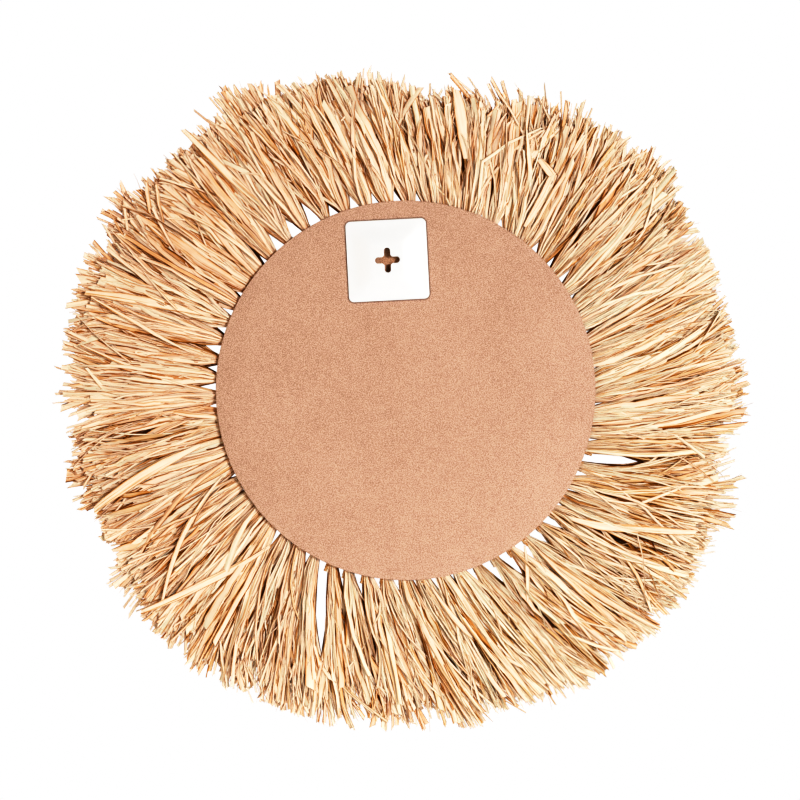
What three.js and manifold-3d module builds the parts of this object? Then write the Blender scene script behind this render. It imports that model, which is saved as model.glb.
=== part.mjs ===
// Round wall mirror with a raffia fringe, hung by a slotted plate on the back of its board.
// Millimetres, +Z up. The wall is the plane y = 0 and the glass faces -Y. The origin is the point on
// the hanger plate's wall face, just above its slot, where the mirror's weight hangs.
// Everything is drawn as seen from behind: x to the right, y up, z towards the wall.

import * as THREE from "three";
import { mergeVertices } from "three/addons/utils/BufferGeometryUtils.js";
import Module from "manifold-3d";

const wasm = await Module();
wasm.setup();

const DEG = Math.PI / 180;
const BOND = 0.3; // glue line between two pieces

// Hanger plate: pressed sheet with a raised pad, and a plus-shaped slot in the pad
const PLATE = { side: 70, corner: 4.4, sheet: 1, turn: -5 * DEG };
const PAD = { rise: 2.8, top: 36, foot: 58, corner: 6, wall: 0.3 };
const SLOT = { length: 21.5, arm: 5.4, throat: 1.6 };
const HANG_ABOVE_SLOT = 14.2; // from the slot's centre up to the origin

// Board, glass and wire ring
const BOARD = { radius: 165, thickness: 5, below: 114.2, sides: 72 };
const GLASS = { radius: 150, thickness: 3, chamfer: 1, sides: 72 };
const WIRE = { ring: 161, drop: 1.5, radius: 2, sides: 6 };
const TUNNEL = { play: 0.35, sides: 4 }; // the loop of a knot round the wire

// Fringe: tassels looped on the wire, narrow at the knot, then spread until they meet
const TASSELS = 62;
const KNOT = { width: 8.4, behind: 5, beyond: 6, depth: 5 };
const STRAND = { close: 14, closeSpread: 5, mid: 70, part: 1.6, overlap: 0.5 };
const HALF_DEPTH = { end: 4.2, neck: 4.8, belly: 7, mid: 10, tip: 7 };
const BUNDLE = [0.75, 1, 1, 1, 0.75]; // thickness across the knot, edge to edge
const LOCKS = [0.45, 1, 0.6, 1, 0.45]; // thickness across the spread strands
const RAGGED = { short: 15, long: 4, tilt: 0.035, sway: 0.08 };

// Places seen from behind, in degrees anticlockwise from the right
const DOUBLES_AT = [-4, 183, 198, 243, 275, 338]; // neighbours that grow into one
const PARTINGS = [{ at: 236.4, close: 66 }, { at: 332.3, close: 55 }]; // long gaps in the fringe

// Slow changes round the ring: each wave has its order, its size and its phase in degrees
const ROOT_START = 0.3;
const ROOT_WAVES = [[1, 4.5, -176], [2, 1.7, 91]];
const LEAN = 10;
const LEAN_WAVES = [[1, 6.4, 44], [2, 6.6, -136], [3, 1.5, 43], [4, 2.7, 72]];
const REACH = 290.7;
const REACH_WAVES = [[1, 7.6, 120], [2, 5.6, 28], [3, 1.6, -76], [4, 6.3, 204], [5, 2.7, 198], [6, 2, 77]];

// Finishes
const RAFFIA_COLOURS = ["#e6c398", "#dcb383", "#ecd0ab"];
const FINISH = {
  plate: { color: "#f6f7f8", roughness: 0.4, metalness: 0.1 },
  board: { color: "#dea987", roughness: 0.85, metalness: 0 },
  glass: { color: "#e8ecee", roughness: 0.03, metalness: 1 },
  wire: { color: "#2c2622", roughness: 0.5, metalness: 0.8 },
  raffia: { roughness: 0.75, metalness: 0 },
};

// Depths of the layers, from the wall inwards
const PLATE_BACK = -(PAD.rise + PLATE.sheet);
const BOARD_BACK = PLATE_BACK - BOND;
const BOARD_FRONT = BOARD_BACK - BOARD.thickness;
const GLASS_BACK = BOARD_FRONT - BOND;
const WIRE_DEPTH = BOARD_FRONT - BOND - KNOT.depth;
const SLOT_Y = -HANG_ABOVE_SLOT;
const CENTRE_Y = SLOT_Y - BOARD.below;

// Sum of slow waves at an angle
function waves(list, angle) {
  const term = ([order, size, phase]) => size * Math.cos(order * angle + phase * DEG);
  return list.reduce((sum, wave) => sum + term(wave), 0);
}

// Repeatable scatter between 0 and 1
function scatter(index, salt) {
  const value = Math.sin(index * 12.9898 + salt * 78.233) * 43758.5453;
  return value - Math.floor(value);
}

// Smallest distance between two directions
function apart(angle, degrees) {
  const turn = angle - degrees * DEG;
  return Math.abs(Math.atan2(Math.sin(turn), Math.cos(turn)));
}

// Point at a radius from the board's centre
function around(angle, radius, depth) {
  return new THREE.Vector3(radius * Math.cos(angle), CENTRE_Y + radius * Math.sin(angle), depth);
}

const lerp = THREE.MathUtils.lerp;

// Closed skin through sections with equal numbers of points, anticlockwise from the far end.
// A loop joins its last section to its first, and anything else is capped by strips.
function loft(sections, loop = false) {
  const count = sections[0].length;
  const index = [];
  const quad = (a, b, c, d) => index.push(a, b, c, a, c, d);
  const spans = loop ? sections.length : sections.length - 1;
  for (let s = 0; s < spans; s++) {
    const here = s * count;
    const next = ((s + 1) % sections.length) * count;
    for (let j = 0; j < count; j++) {
      const k = (j + 1) % count;
      quad(here + j, here + k, next + k, next + j);
    }
  }
  const last = (sections.length - 1) * count;
  for (let j = 0; !loop && j < count / 2 - 1; j++) {
    const pair = count - 1 - j;
    quad(j, pair, pair - 1, j + 1);
    quad(last + j, last + j + 1, last + pair - 1, last + pair);
  }
  const geometry = new THREE.BufferGeometry().setFromPoints(sections.flat());
  geometry.setIndex(index);
  return geometry;
}

// Geometry to a solid for cutting and joining
function toSolid(geometry) {
  const bare = geometry.clone();
  bare.deleteAttribute("normal");
  bare.deleteAttribute("uv");
  const merged = mergeVertices(bare);
  const vertProperties = Float32Array.from(merged.attributes.position.array);
  const triVerts = Uint32Array.from(merged.index.array);
  return new wasm.Manifold(new wasm.Mesh({ numProp: 3, vertProperties, triVerts }));
}

// Solid back to a geometry
function toGeometry(solid) {
  const { vertProperties, triVerts } = solid.getMesh();
  const geometry = new THREE.BufferGeometry();
  geometry.setAttribute("position", new THREE.BufferAttribute(vertProperties, 3));
  geometry.setIndex(new THREE.BufferAttribute(triVerts, 1));
  return geometry;
}

function makeMesh(name, geometry, finish) {
  geometry.computeVertexNormals();
  const mesh = new THREE.Mesh(geometry, new THREE.MeshStandardMaterial(finish));
  mesh.name = name;
  return mesh;
}

// Square with round corners, as one section of a loft
function squareSection(side, corner, depth) {
  const points = [];
  const steps = 3;
  const inset = side / 2 - corner;
  for (let quarter = 0; quarter < 4; quarter++) {
    const middle = (quarter + 0.5) * 90 * DEG;
    const x = Math.sign(Math.cos(middle)) * inset;
    const y = Math.sign(Math.sin(middle)) * inset;
    for (let step = 0; step <= steps; step++) {
      const angle = (quarter + step / steps) * 90 * DEG;
      points.push(new THREE.Vector3(x + corner * Math.cos(angle), y + corner * Math.sin(angle), depth));
    }
  }
  return points;
}

// Plus with round arm ends, its inner corners cut back so that a screw's head can enter
function slotShape() {
  const shape = new THREE.Shape();
  const half = SLOT.arm / 2;
  const armEnd = SLOT.length / 2 - half;
  for (let arm = 0; arm < 4; arm++) {
    const angle = arm * 90 * DEG;
    const cos = Math.cos(angle);
    const sin = Math.sin(angle);
    const turned = (x, y) => shape.lineTo(x * cos - y * sin, x * sin + y * cos);
    shape.absarc(armEnd * cos, armEnd * sin, half, angle - 90 * DEG, angle + 90 * DEG);
    turned(half + SLOT.throat, half);
    turned(half, half + SLOT.throat);
  }
  return shape;
}

function hangerPlate() {
  const back = PLATE_BACK;
  const flange = [back, -PAD.rise].map((z) => squareSection(PLATE.side, PLATE.corner, z));
  const pad = [
    squareSection(PAD.foot, PAD.corner, back),
    squareSection(PAD.foot, PAD.corner, -PAD.rise),
    squareSection(PAD.top, PAD.corner, 0),
  ];
  const hollowFoot = PAD.foot - 2 * PAD.wall;
  const hollow = [
    squareSection(hollowFoot, PAD.corner, back - PLATE.sheet),
    squareSection(hollowFoot, PAD.corner, back),
    squareSection(PAD.top - 2 * PAD.wall, PAD.corner, -PLATE.sheet),
  ];
  const depth = 4 * PLATE.sheet;
  const slot = new THREE.ExtrudeGeometry(slotShape(), { depth, bevelEnabled: false, curveSegments: 6 });
  slot.translate(0, 0, -depth / 2);
  const pressed = toSolid(loft(flange)).add(toSolid(loft(pad))).subtract(toSolid(loft(hollow)));
  const mesh = makeMesh("hanger_plate", toGeometry(pressed.subtract(toSolid(slot))), FINISH.plate);
  mesh.position.y = SLOT_Y;
  mesh.rotation.z = PLATE.turn;
  return mesh;
}

// Disc turned from a profile, its axis laid towards the wall
function disc(name, profile, sides, finish) {
  const points = profile.map(([radius, depth]) => new THREE.Vector2(radius, depth));
  const geometry = new THREE.LatheGeometry(points, sides);
  geometry.rotateX(90 * DEG);
  geometry.translate(0, CENTRE_Y, 0);
  return makeMesh(name, toGeometry(toSolid(geometry)), finish);
}

function backingBoard() {
  const profile = [[0, BOARD_FRONT], [BOARD.radius, BOARD_FRONT], [BOARD.radius, BOARD_BACK], [0, BOARD_BACK]];
  return disc("backing_board", profile, BOARD.sides, FINISH.board);
}

function mirrorGlass() {
  const front = GLASS_BACK - GLASS.thickness;
  const profile = [
    [0, front],
    [GLASS.radius - GLASS.chamfer, front],
    [GLASS.radius, front + GLASS.chamfer],
    [GLASS.radius, GLASS_BACK],
    [0, GLASS_BACK],
  ];
  return disc("mirror_glass", profile, GLASS.sides, FINISH.glass);
}

// Tassel roots, unevenly spaced, and the lines midway between them
function rootAngle(index) {
  const even = (360 * DEG * index) / TASSELS;
  return even + (ROOT_START + waves(ROOT_WAVES, even)) * DEG;
}

const borderAngle = (index) => (rootAngle(index) + rootAngle(index + 1)) / 2;

// The wire's circle sits a little lower than the board's
const wireRadius = (angle) => WIRE.ring - WIRE.drop * Math.sin(angle);

// Sideways turn of a strand by the time it reaches a radius
function sweep(angle, radius) {
  const lean = (LEAN + waves(LEAN_WAVES, angle)) * DEG;
  return Math.tan(lean) * Math.log(radius / wireRadius(angle));
}

// Regular section across the wire's circle, by its largest radius
function wireSection(angle, radius, sides) {
  const points = [];
  for (let side = 0; side < sides; side++) {
    const turn = ((side + 0.5) / sides) * 360 * DEG;
    const outward = wireRadius(angle) + radius * Math.sin(turn);
    points.push(around(angle, outward, WIRE_DEPTH + radius * Math.cos(turn)));
  }
  return points;
}

function wireRing() {
  const sections = [];
  for (let index = 0; index < TASSELS; index++) {
    sections.push(wireSection(borderAngle(index), WIRE.radius, WIRE.sides));
  }
  return makeMesh("wire_ring", loft(sections, true), FINISH.wire);
}

// The straight way that the wire takes through one knot
function tunnel(index) {
  const radius = (WIRE.radius + TUNNEL.play) / Math.cos((180 * DEG) / TUNNEL.sides);
  return loft([index - 1, index].map((border) => wireSection(borderAngle(border), radius, TUNNEL.sides)));
}

// How far past the wire a gap between two roots stays open
function closingLength(border) {
  const angle = borderAngle(border);
  const parting = PARTINGS.find(({ at }) => apart(angle, at) < (180 * DEG) / TASSELS);
  return parting ? parting.close : STRAND.close + STRAND.closeSpread * (scatter(border, 1) - 0.5);
}

// One side of a tassel at a radius: the knot's side, moving out to the shared border as the gap closes
function sideAngle(index, border, hand, radius, clearance) {
  const root = rootAngle(index);
  const past = radius - wireRadius(root) - KNOT.beyond;
  const opened = THREE.MathUtils.smoothstep(past, 0, closingLength(border) - KNOT.beyond);
  const knotSide = root + (hand * KNOT.width) / 2 / wireRadius(root) + sweep(root, radius);
  const line = borderAngle(border);
  const borderSide = line + sweep(line, radius) - (hand * clearance) / 2 / radius;
  return lerp(knotSide, borderSide, opened);
}

// Tassel: knot, neck, belly and locks, with an uneven cut end
function tasselSolid(index, clearBefore, clearAfter) {
  const root = rootAngle(index);
  const ring = wireRadius(root);
  const reach = REACH + waves(REACH_WAVES, root + sweep(root, REACH));
  const belly = ring + Math.min(closingLength(index - 1), closingLength(index));
  const stations = [
    { radius: ring - KNOT.behind, half: HALF_DEPTH.end, form: BUNDLE, ragged: 0 },
    { radius: ring + KNOT.beyond, half: HALF_DEPTH.neck, form: BUNDLE, ragged: 0 },
    { radius: belly, half: HALF_DEPTH.belly, form: LOCKS, ragged: 0 },
    { radius: ring + STRAND.mid, half: HALF_DEPTH.mid, form: LOCKS, ragged: 0 },
    { radius: reach, half: HALF_DEPTH.tip, form: LOCKS, ragged: 1 },
  ];
  const tilt = RAGGED.tilt * (2 * scatter(index, 2) - 1);
  const columns = LOCKS.length;
  const point = ({ radius, half, form, ragged }, column, face) => {
    const salt = 3 + column + (face > 0 ? columns : 0);
    const cut = lerp(-RAGGED.short, RAGGED.long, scatter(index, salt));
    const at = radius + ragged * cut;
    const inner = column > 0 && column < columns - 1;
    const sway = inner ? RAGGED.sway * (scatter(index, salt + 2 * columns) - 0.5) : 0;
    const share = column / (columns - 1) + sway;
    const before = sideAngle(index, index - 1, -1, at, clearBefore);
    const after = sideAngle(index, index, 1, at, clearAfter);
    const depth = WIRE_DEPTH + tilt * (at - ring) + face * half * form[column];
    return around(lerp(before, after, share), at, depth);
  };
  const sections = stations.map((station) => {
    const section = [];
    for (let column = columns - 1; column >= 0; column--) section.push(point(station, column, 1));
    for (let column = 0; column < columns; column++) section.push(point(station, column, -1));
    return section;
  });
  return toSolid(loft(sections)).subtract(toSolid(tunnel(index)));
}

function fringe() {
  const meshes = [];
  const label = (index) => String(index + 1).padStart(2, "0");
  const isDouble = (index) => DOUBLES_AT.some((at) => apart(borderAngle(index), at) < (180 * DEG) / TASSELS);
  for (let index = 0; index < TASSELS; index++) {
    const color = RAFFIA_COLOURS[index % RAFFIA_COLOURS.length];
    const finish = { ...FINISH.raffia, color };
    if (isDouble(index)) {
      const pair = tasselSolid(index, STRAND.part, -STRAND.overlap);
      const joined = pair.add(tasselSolid(index + 1, -STRAND.overlap, STRAND.part));
      meshes.push(makeMesh(`tassels_${label(index)}_${label(index + 1)}`, toGeometry(joined), finish));
      index++;
    } else {
      const single = tasselSolid(index, STRAND.part, STRAND.part);
      meshes.push(makeMesh(`tassel_${label(index)}`, toGeometry(single), finish));
    }
  }
  return meshes;
}

// The drawing from behind, stood up against the wall
const mirror = new THREE.Group();
mirror.name = "wall_mirror";
mirror.rotation.set(-90 * DEG, 180 * DEG, 0, "YXZ");
mirror.add(hangerPlate(), backingBoard(), mirrorGlass(), wireRing(), ...fringe());

export default mirror;
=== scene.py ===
import math

import bpy
import numpy as np
from mathutils import Matrix, Vector


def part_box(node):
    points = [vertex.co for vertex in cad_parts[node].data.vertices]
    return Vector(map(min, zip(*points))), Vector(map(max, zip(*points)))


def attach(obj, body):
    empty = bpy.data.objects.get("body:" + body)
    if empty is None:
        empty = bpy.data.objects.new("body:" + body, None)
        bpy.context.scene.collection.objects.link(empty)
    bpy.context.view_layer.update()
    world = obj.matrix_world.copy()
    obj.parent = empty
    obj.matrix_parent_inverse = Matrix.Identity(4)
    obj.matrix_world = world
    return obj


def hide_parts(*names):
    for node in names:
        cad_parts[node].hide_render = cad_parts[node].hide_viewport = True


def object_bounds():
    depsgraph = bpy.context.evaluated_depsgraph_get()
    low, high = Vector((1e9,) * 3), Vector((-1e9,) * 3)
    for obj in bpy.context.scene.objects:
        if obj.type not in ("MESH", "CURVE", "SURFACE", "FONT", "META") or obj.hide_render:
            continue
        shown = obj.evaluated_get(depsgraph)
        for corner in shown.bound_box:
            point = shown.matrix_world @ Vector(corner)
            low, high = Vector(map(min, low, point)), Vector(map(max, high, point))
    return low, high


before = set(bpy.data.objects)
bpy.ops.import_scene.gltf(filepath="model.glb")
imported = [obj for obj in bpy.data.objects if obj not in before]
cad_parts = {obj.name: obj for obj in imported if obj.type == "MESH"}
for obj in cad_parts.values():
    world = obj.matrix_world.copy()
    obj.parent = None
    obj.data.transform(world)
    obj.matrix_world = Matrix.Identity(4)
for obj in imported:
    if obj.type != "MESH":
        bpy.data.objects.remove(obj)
cadBox = [list(corner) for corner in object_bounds()]
mm = 0.001
print("frame loaded,", len(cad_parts), "nodes")

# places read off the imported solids
boardLow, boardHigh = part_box("backing_board")
glassLow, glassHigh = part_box("mirror_glass")
plateLow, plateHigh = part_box("hanger_plate")
wireLow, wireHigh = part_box("wire_ring")
centreX = (boardLow.x + boardHigh.x) / 2
centreZ = (boardLow.z + boardHigh.z) / 2
boardRadius = (boardHigh.z - boardLow.z) / 2
wireDepth = (wireLow.y + wireHigh.y) / 2
slotX = (plateLow.x + plateHigh.x) / 2
slotZ = (plateLow.z + plateHigh.z) / 2


# angles run anticlockwise from the right, seen from behind
def place(angle, radius, depth):
    x = centreX - radius * np.cos(angle)
    z = centreZ + radius * np.sin(angle)
    return np.stack(np.broadcast_arrays(x, depth, z), axis=-1)


# shader sockets that take part in Python expressions
class Value:
    def __init__(self, finish, socket):
        self.finish = finish
        self.socket = socket

    def maths(self, operation, first, second):
        node = self.finish.node("Math", {"operation": operation}, {0: first, 1: second})
        return Value(self.finish, node.outputs[0])

    def __add__(self, other):
        return self.maths("ADD", self, other)

    def __radd__(self, other):
        return self.maths("ADD", other, self)

    def __sub__(self, other):
        return self.maths("SUBTRACT", self, other)

    def __rsub__(self, other):
        return self.maths("SUBTRACT", other, self)

    def __mul__(self, other):
        return self.maths("MULTIPLY", self, other)

    def __rmul__(self, other):
        return self.maths("MULTIPLY", other, self)

    def __pow__(self, other):
        return self.maths("POWER", self, other)

    def __abs__(self):
        return self.maths("ABSOLUTE", self, 0.0)

    def atLeast(self, other):
        return self.maths("MAXIMUM", self, other)


# a node tree, of a material or of the world
class Nodes:
    def __init__(self, tree):
        self.tree = tree

    def node(self, kind, settings=None, sockets=None):
        node = self.tree.nodes.new("ShaderNode" + kind)
        for name, value in (settings or {}).items():
            if name == "stops":
                self.stops(node.color_ramp, value)
            else:
                setattr(node, name, value)
        for name, value in (sockets or {}).items():
            self.feed(node.inputs[name], value)
        return node

    def stops(self, ramp, stops):
        while len(ramp.elements) < len(stops):
            ramp.elements.new(0.5)
        for element, (position, colour) in zip(ramp.elements, stops):
            element.position = position
            element.color = (*colour, 1)

    def feed(self, socket, value):
        if isinstance(value, Value):
            value = value.socket
        if isinstance(value, bpy.types.NodeSocket):
            self.tree.links.new(value, socket)
        elif socket.type == "RGBA" and len(value) == 3:
            socket.default_value = (*value, 1)
        else:
            socket.default_value = value

    def value(self, node, output=0):
        return Value(self, node.outputs[output])

    def attribute(self, name, output):
        return self.value(self.node("Attribute", {"attribute_name": name}), output)

    def noise(self, where, scale, detail=2.0, roughness=0.5):
        sockets = {"Vector": where, "Scale": scale, "Detail": detail, "Roughness": roughness}
        return self.value(self.node("TexNoise", {}, sockets), "Fac")

    def stretch(self, where, scale):
        node = self.node("VectorMath", {"operation": "MULTIPLY"}, {0: where, 1: scale})
        return self.value(node)

    def dot(self, where, direction):
        node = self.node("VectorMath", {"operation": "DOT_PRODUCT"}, {0: where, 1: direction})
        return self.value(node, "Value")

    # from one down to nothing over a distance
    def fade(self, distance, width):
        sockets = {"Value": distance, "From Min": 0.0, "From Max": width, "To Min": 1.0, "To Max": 0.0}
        return self.value(self.node("MapRange", {}, sockets))

    def mix(self, share, first, second, blend="MIX"):
        settings = {"data_type": "RGBA", "blend_type": blend, "clamp_factor": True}
        return self.value(self.node("Mix", settings, {0: share, 6: first, 7: second}), 2)

    def ramp(self, share, stops):
        return self.value(self.node("ValToRGB", {"stops": stops}, {"Fac": share}))


# a material on the standard shader
class Finish(Nodes):
    def __init__(self, name, **constants):
        self.material = bpy.data.materials.new(name)
        self.material.use_nodes = True
        super().__init__(self.material.node_tree)
        self.shader = self.tree.nodes["Principled BSDF"]
        for socket, value in constants.items():
            self.shader.inputs[socket.replace("_", " ")].default_value = value

    def objectPoint(self):
        return self.value(self.node("TexCoord"), "Object")

    def bump(self, height, strength, distance):
        sockets = {"Height": height, "Strength": strength, "Distance": distance}
        self.set("Normal", self.value(self.node("Bump", {}, sockets)))

    def set(self, name, value):
        self.feed(self.shader.inputs[name], value)


def paint(piece, *finishes):
    piece.data.materials.clear()
    for finish in finishes:
        piece.data.materials.append(finish.material)


# a mesh piece that stands for CAD nodes
def addPiece(name, vertices, faces, nodes, smooth=True):
    mesh = bpy.data.meshes.new(name)
    mesh.from_pydata(np.asarray(vertices).tolist(), [], faces)
    mesh.update()
    mesh.polygons.foreach_set("use_smooth", [smooth] * len(mesh.polygons))
    piece = bpy.data.objects.new(name, mesh)
    bpy.context.scene.collection.objects.link(piece)
    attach(piece, "root")
    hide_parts(*nodes)
    return piece


# quads between rows of points, each row closed on itself
def ringFaces(rows, count, closeRows=False):
    faces = []
    for row in range(rows if closeRows else rows - 1):
        here, after = row * count, (row + 1) % rows * count
        for j in range(count):
            k = (j + 1) % count
            faces.append((here + j, here + k, after + k, after + j))
    return faces


# a turned disc: the walls between its rows, then its first and its last face
def discFaces(rows, count):
    faces = [face[::-1] for face in ringFaces(rows, count)]
    faces.append(tuple(range(count)))
    faces.append(tuple(reversed(range((rows - 1) * count, rows * count))))
    return faces


# edges sharper than this angle stay crisp
def sharpenEdges(piece, degrees):
    piece.data.set_sharp_from_angle(angle=math.radians(degrees))


# hanger plate: pressed pad, rolled edges and the plus slot
plate = {
    "side": 70 * mm,
    "corner": 4.4 * mm,
    "sheet": 1.0 * mm,
    "padTop": 25 * mm,
    "padFoot": 65 * mm,
    "padCorner": 6 * mm,
    "padSteps": 9,
    "turn": -5.0,
    "slotLength": 21.5 * mm,
    "slotArm": 5.4 * mm,
    "slotThroat": 1.6 * mm,
    "edgeRound": 0.25 * mm,
    "rays": 480,
    "paint": (0.74, 0.80, 0.875),
    "paintWorn": (0.705, 0.765, 0.835),
    # underside colours: unpainted steel, darkened as painted shade under the pad
    "undersideShadeDark": (0.035, 0.026, 0.02),
    "undersideShadePale": (0.1, 0.075, 0.055),
}


# distance to the edge of a square with round corners, along a ray
def squareReach(angle, side, corner):
    turned = np.abs((angle + math.pi / 4) % (math.pi / 2) - math.pi / 4)
    flat = side / 2 / np.cos(turned)
    inset = side / 2 - corner
    middle = inset * math.sqrt(2)
    offset = math.pi / 4 - turned
    inside = np.maximum(corner**2 - (middle * np.sin(offset)) ** 2, 0)
    rounded = middle * np.cos(offset) + np.sqrt(inside)
    onCorner = side / 2 * np.tan(turned) > inset
    return np.where(onCorner, rounded, flat)


# distance to the edge of the plus slot, along a ray
def slotReach(angle):
    turned = np.abs((angle + math.pi / 4) % (math.pi / 2) - math.pi / 4)
    half = plate["slotArm"] / 2
    armEnd = plate["slotLength"] / 2 - half
    inside = np.maximum(half**2 - (armEnd * np.sin(turned)) ** 2, 0)
    tip = armEnd * np.cos(turned) + np.sqrt(inside)
    sideOfArm = half / np.maximum(np.sin(turned), 1e-6)
    throat = (2 * half + plate["slotThroat"]) / (np.cos(turned) + np.sin(turned))
    onTip = np.tan(turned) < half / armEnd
    return np.where(onTip, tip, np.maximum(sideOfArm, throat))


def plateFinish():
    finish = Finish("white_plate_paint", Specular_IOR_Level=0.4)
    where = finish.objectPoint()
    peel = finish.noise(where, 900.0, 2.0)
    wear = finish.noise(where, 55.0, 4.0, 0.65)
    finish.set("Base Color", finish.mix(wear * 0.6, plate["paint"], plate["paintWorn"]))
    finish.set("Roughness", 0.3 + wear * 0.16)
    finish.bump(peel, 0.12, 0.05 * mm)
    return finish


# unpainted underside of the plate, near black as painted shade under the pad
def shadedUndersideFinish():
    finish = Finish("plate_underside_painted_shade", Metallic=0.7)
    mottle = finish.noise(finish.objectPoint(), 320.0, 4.0, 0.65)
    finish.set("Base Color", finish.mix(mottle, plate["undersideShadeDark"], plate["undersideShadePale"]))
    finish.set("Roughness", 0.4 + mottle * 0.3)
    return finish


def makePlate():
    rays = np.linspace(0, 2 * math.pi, plate["rays"], endpoint=False)
    slotEdge = slotReach(rays)
    padTop = squareReach(rays, plate["padTop"], plate["padCorner"])
    padFoot = squareReach(rays, plate["padFoot"], plate["padCorner"])
    edge = squareReach(rays, plate["side"], plate["corner"])
    front, low = plateHigh.y, plateLow.y
    sheet, soft = plate["sheet"], plate["edgeRound"]
    flange = low + sheet
    ease = np.linspace(0, 1, plate["padSteps"])
    slope = ease * ease * (3 - 2 * ease)  # pad side, rounded at both bends
    reaches = [padTop + (padFoot - padTop) * along for along in ease]
    pad = list(zip(reaches, (flange - front) * slope))
    rows = [(slotEdge + soft, front), (slotEdge + soft * 4, front)]
    rows += [(reach, front + fall) for reach, fall in pad]
    for turn in (90, 60, 30, 0):
        bend = math.radians(turn)
        rows.append((edge - soft + soft * math.cos(bend), flange - soft + soft * math.sin(bend)))
    rows += [(edge, low + soft), (edge - soft, low)]
    painted = len(rows) - 1  # from here on the sheet shows its unpainted underside, darkened as painted shade
    rows += [(reach, front - sheet + fall) for reach, fall in reversed(pad)]
    rows += [(slotEdge + soft, front - sheet), (slotEdge, front - sheet + soft)]
    rows += [(slotEdge, front - soft), (slotEdge + soft * 0.3, front - soft * 0.3)]
    turned = rays + math.radians(plate["turn"])
    vertices = []
    for reach, depth in rows:
        x, z = slotX - reach * np.cos(turned), slotZ + reach * np.sin(turned)
        vertices.append(np.stack(np.broadcast_arrays(x, depth, z), axis=-1))
    faces = ringFaces(len(rows), len(rays), closeRows=True)
    piece = addPiece("plate", np.concatenate(vertices), faces, ["hanger_plate"])
    sharpenEdges(piece, 50)
    paint(piece, plateFinish(), shadedUndersideFinish())
    # the underside rows get the painted shade
    shadedUnderside = [painted <= row < len(rows) - 2 for row in range(len(rows))]
    piece.data.polygons.foreach_set("material_index", np.repeat(shadedUnderside, len(rays)).astype(np.int32))
    print("plate done")


makePlate()

# MDF: fine speckle over soft blotches
fibreboard = {
    "pale": (0.6, 0.44, 0.372),
    "mid": (0.486, 0.334, 0.267),
    "dark": (0.323, 0.208, 0.155),
    "speckScale": 1250.0,
    "blotchScale": 95.0,
    "cloudScale": 14.0,
    "middle": 0.58,
    "speck": 10.0,
    "blotch": 0.5,
    "cloud": 0.5,
    "lightSlope": (-0.24, 0.0, -0.64),  # painted light: paler towards one side, per metre
    "roughness": 0.82,
    "coreShade": (0.95, 0.82, 0.68),  # darker fibreboard where it is cut into, beside the skin, deepened as painted shade in the recess behind the slot
    "shadowLineWidth": 1.7 * mm,  # painted shadow line round the plate
    "line": 0.85,
    "shadowLineColour": (0.09, 0.05, 0.035),
}


# how far a point lies outside the plate's outline
def beyondPlate(finish, where):
    turn = math.radians(plate["turn"])
    inset = plate["side"] / 2 - plate["corner"]
    past = []
    for axis in ((-math.cos(turn), 0, math.sin(turn)), (math.sin(turn), 0, math.cos(turn))):
        middle = slotX * axis[0] + slotZ * axis[2]
        past.append((abs(finish.dot(where, axis) - middle) - inset).atLeast(0.0))
    return (past[0] * past[0] + past[1] * past[1]) ** 0.5 - plate["corner"]


def fibreboardFinish(name, tint=None):
    values = fibreboard
    finish = Finish(name, Roughness=values["roughness"], Specular_IOR_Level=0.25)
    where = finish.objectPoint()
    speck = finish.noise(where, values["speckScale"], 3.0, 0.75)
    blotch = finish.noise(where, values["blotchScale"], 3.0, 0.6)
    cloud = finish.noise(where, values["cloudScale"], 2.0)
    share = values["middle"] + (speck - 0.5) * values["speck"] + (blotch - 0.5) * values["blotch"]
    # painted light: the board paler towards one side
    share = share + (cloud - 0.5) * values["cloud"] + finish.dot(where, values["lightSlope"])
    stops = list(zip((0.0, 0.5, 1.0), (values["dark"], values["mid"], values["pale"])))
    colour = finish.ramp(share, stops)
    # a tint gives the recess its painted shade
    if tint:
        colour = finish.mix(1.0, colour, tint, "MULTIPLY")
    else:
        # painted shadow along the plate's edge
        line = finish.fade(beyondPlate(finish, where), values["shadowLineWidth"])
        colour = finish.mix(line * values["line"], colour, values["shadowLineColour"])
    finish.set("Base Color", colour)
    finish.bump(speck + blotch * 0.5, 0.25, 0.15 * mm)
    return finish


board = {
    "segments": 240,
    "edgeRound": 0.5 * mm,
    "roundSteps": 3,
    "frontRings": (0.35, 0.7),
    "backRings": (0.25, 0.5, 0.75, 1),  # they close in on the recess
    "recessRadius": 13.5 * mm,  # room for the screw head behind the slot
    "recessDepth": 3.0 * mm,
}


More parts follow.
